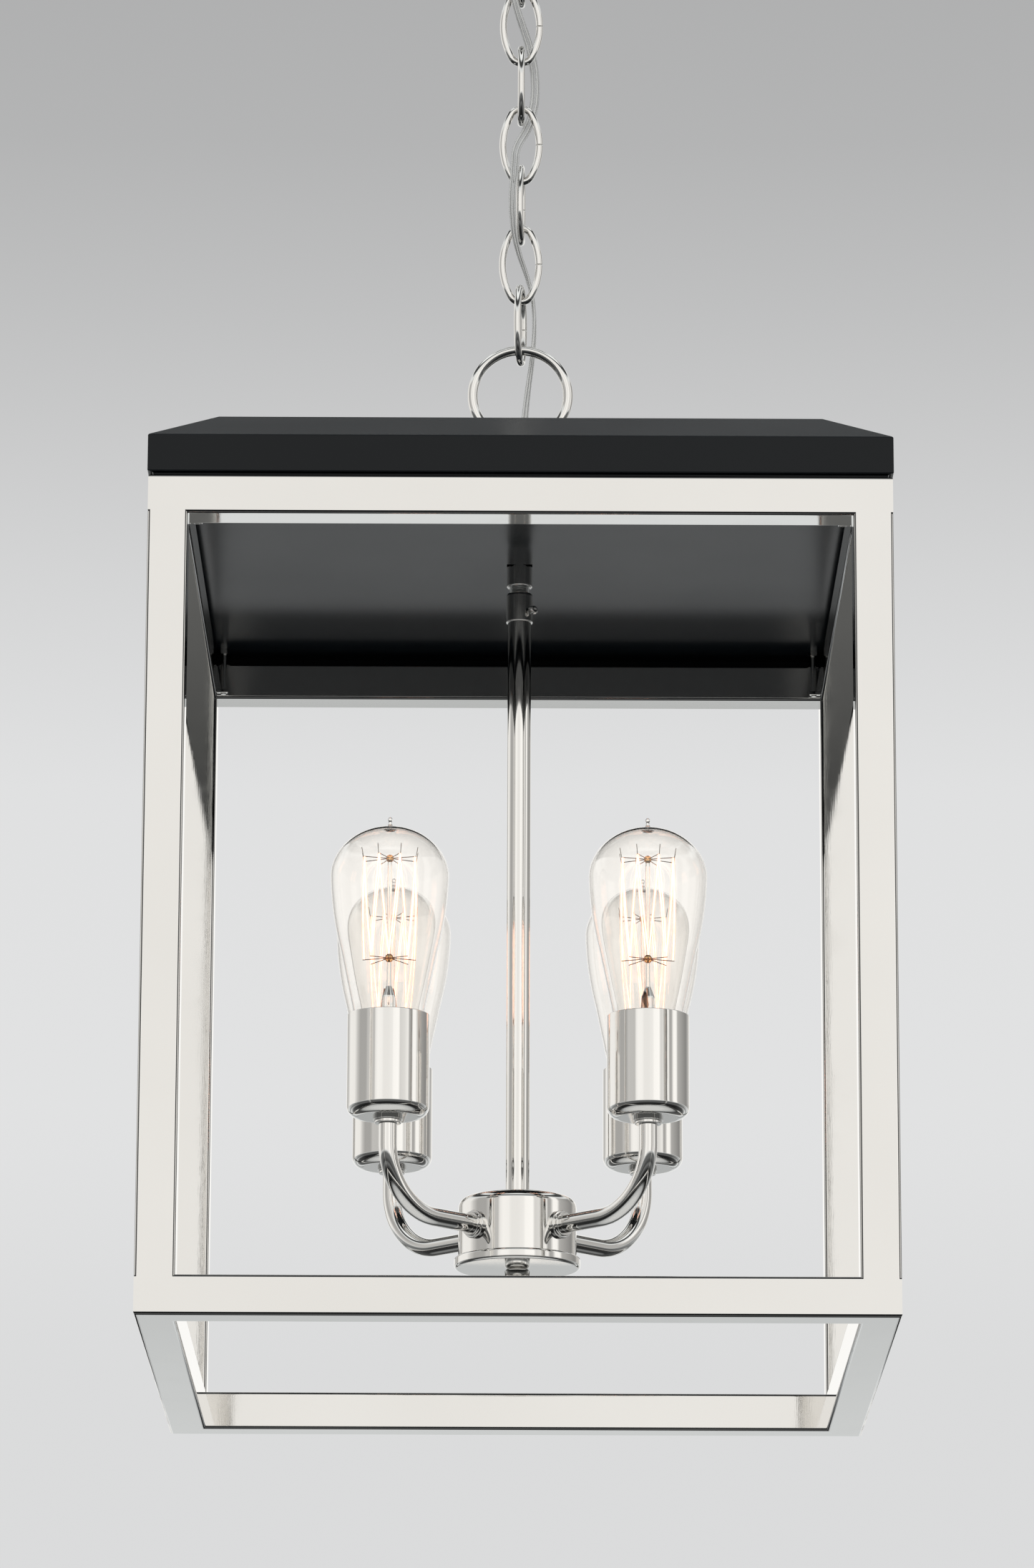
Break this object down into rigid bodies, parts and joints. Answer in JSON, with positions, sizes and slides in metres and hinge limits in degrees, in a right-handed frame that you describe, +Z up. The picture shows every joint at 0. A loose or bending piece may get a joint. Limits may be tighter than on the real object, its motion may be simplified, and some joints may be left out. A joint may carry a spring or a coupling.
{
  "type": "hanging lantern",
  "caption": "Open square cage lantern with a hipped black cap, a stem with upright lamps in cups, and a ring, chain and ceiling plate.",
  "frame": {"origin": "centre of the ceiling plate where it meets the ceiling, on the line of the chain and stem", "axes": "+Z up, square to the ceiling; +X right and +Y back, square to the sides of the cage; the two ceiling screws lie along X"},
  "size_m": [0.3566, 0.3566, 0.8069],
  "materials": {
    "polished_nickel": "polished nickel plate on steel",
    "black_coat": "satin black powder coat",
    "lamp_glass": "clear glass",
    "lamp_cap": "plated screw cap",
    "lamp_filament": "glass mount with a lit wire",
    "phenolic": "moulded phenolic",
    "clear_cord": "clear twin cord on tinned strands",
    "zinc_steel": "zinc plated steel"
  },
  "bodies": {
    "canopy": {"canopy": "polished_nickel", "mounting_bar": "zinc_steel", "canopy_nipple": "zinc_steel", "canopy_nuts": "zinc_steel", "canopy_loop": "polished_nickel", "supply_cord": "clear_cord"},
    "link_7": {"chain_link_7": "polished_nickel"},
    "link_6": {"chain_link_6": "polished_nickel"},
    "link_5": {"chain_link_5": "polished_nickel"},
    "link_4": {"chain_link_4": "polished_nickel"},
    "link_3": {"chain_link_3": "polished_nickel"},
    "link_2": {"chain_link_2": "polished_nickel"},
    "link_1": {"chain_link_1": "polished_nickel"},
    "ring": {"hang_ring": "polished_nickel"},
    "lantern": {"bottom_rail_front": "polished_nickel", "bottom_rail_right": "polished_nickel", "bottom_rail_back": "polished_nickel", "bottom_rail_left": "polished_nickel", "top_rail_front": "polished_nickel", "top_rail_right": "polished_nickel", "top_rail_back": "polished_nickel", "top_rail_left": "polished_nickel", "post_front_left": "polished_nickel", "post_front_right": "polished_nickel", "post_back_right": "polished_nickel", "post_back_left": "polished_nickel", "roof_shell": "black_coat", "roof_panel": "black_coat", "roof_screws": "polished_nickel", "top_coupler": "polished_nickel", "stem_nipple": "zinc_steel", "stem_collar": "polished_nickel", "ring_holder": "polished_nickel"},
    "cluster": {"stem_tube": "polished_nickel", "hub_body": "polished_nickel", "hub_cover": "polished_nickel", "finial": "polished_nickel", "arm_nuts": "polished_nickel", "lampholders": "phenolic", "arm_1": "polished_nickel", "arm_2": "polished_nickel", "arm_3": "polished_nickel", "arm_4": "polished_nickel", "socket_cup_1": "polished_nickel", "socket_cup_2": "polished_nickel", "socket_cup_3": "polished_nickel", "socket_cup_4": "polished_nickel"},
    "thumb_screw": {"thumb_screw": "polished_nickel"},
    "bulb_1": {"bulb_glass_1": "lamp_glass", "bulb_cap_1": "lamp_cap", "filament_mount_1": "lamp_filament"},
    "bulb_2": {"bulb_glass_2": "lamp_glass", "bulb_cap_2": "lamp_cap", "filament_mount_2": "lamp_filament"},
    "bulb_3": {"bulb_glass_3": "lamp_glass", "bulb_cap_3": "lamp_cap", "filament_mount_3": "lamp_filament"},
    "bulb_4": {"bulb_glass_4": "lamp_glass", "bulb_cap_4": "lamp_cap", "filament_mount_4": "lamp_filament"}
  },
  "joints": [
    {"name": "eye_to_link_7", "type": "hinge", "parent": "canopy", "child": "link_7", "pos_m": [0, 0, -0.0576], "axis": [1, 0, 0], "range_deg": [-8, 8], "deforming": ["supply_cord"]},
    {"name": "link_7_to_link_6", "type": "hinge", "parent": "link_7", "child": "link_6", "pos_m": [0, 0, -0.0897], "axis": [0, 1, 0], "range_deg": [-8, 8], "deforming": ["supply_cord"]},
    {"name": "link_6_to_link_5", "type": "hinge", "parent": "link_6", "child": "link_5", "pos_m": [0, 0, -0.12205], "axis": [1, 0, 0], "range_deg": [-8, 8], "deforming": ["supply_cord"]},
    {"name": "link_5_to_link_4", "type": "hinge", "parent": "link_5", "child": "link_4", "pos_m": [0, 0, -0.1544], "axis": [0, 1, 0], "range_deg": [-8, 8], "deforming": ["supply_cord"]},
    {"name": "link_4_to_link_3", "type": "hinge", "parent": "link_4", "child": "link_3", "pos_m": [0, 0, -0.18675], "axis": [1, 0, 0], "range_deg": [-8, 8], "deforming": ["supply_cord"]},
    {"name": "link_3_to_link_2", "type": "hinge", "parent": "link_3", "child": "link_2", "pos_m": [0, 0, -0.2191], "axis": [0, 1, 0], "range_deg": [-8, 8], "deforming": ["supply_cord"]},
    {"name": "link_2_to_link_1", "type": "hinge", "parent": "link_2", "child": "link_1", "pos_m": [0, 0, -0.25145], "axis": [1, 0, 0], "range_deg": [-8, 8], "deforming": ["supply_cord"]},
    {"name": "link_1_to_ring", "type": "hinge", "parent": "link_1", "child": "ring", "pos_m": [0, 0, -0.2838], "axis": [0, 1, 0], "range_deg": [-12, 12], "deforming": ["supply_cord"]},
    {"name": "ring_to_lantern", "type": "hinge", "parent": "ring", "child": "lantern", "pos_m": [0, 0, -0.32745], "axis": [1, 0, 0], "range_deg": [-20, 20], "deforming": ["supply_cord"]},
    {"name": "stem_turn", "type": "hinge", "parent": "lantern", "child": "cluster", "pos_m": [0, 0, -0.4149], "axis": [0, 0, 1], "range_deg": [-180, 180]},
    {"name": "thumb_screw_turn", "type": "hinge", "parent": "lantern", "child": "thumb_screw", "pos_m": [0.00566, -0.00566, -0.4183], "axis": [0.7071, -0.7071, 0], "range_deg": [0, 540]},
    {"name": "bulb_1_out", "type": "slide", "parent": "cluster", "child": "bulb_1", "axis": [0, 0, 1], "range_m": [0, 0.03]},
    {"name": "bulb_2_out", "type": "slide", "parent": "cluster", "child": "bulb_2", "axis": [0, 0, 1], "range_m": [0, 0.03]},
    {"name": "bulb_3_out", "type": "slide", "parent": "cluster", "child": "bulb_3", "axis": [0, 0, 1], "range_m": [0, 0.03]},
    {"name": "bulb_4_out", "type": "slide", "parent": "cluster", "child": "bulb_4", "axis": [0, 0, 1], "range_m": [0, 0.03]}
  ]
}
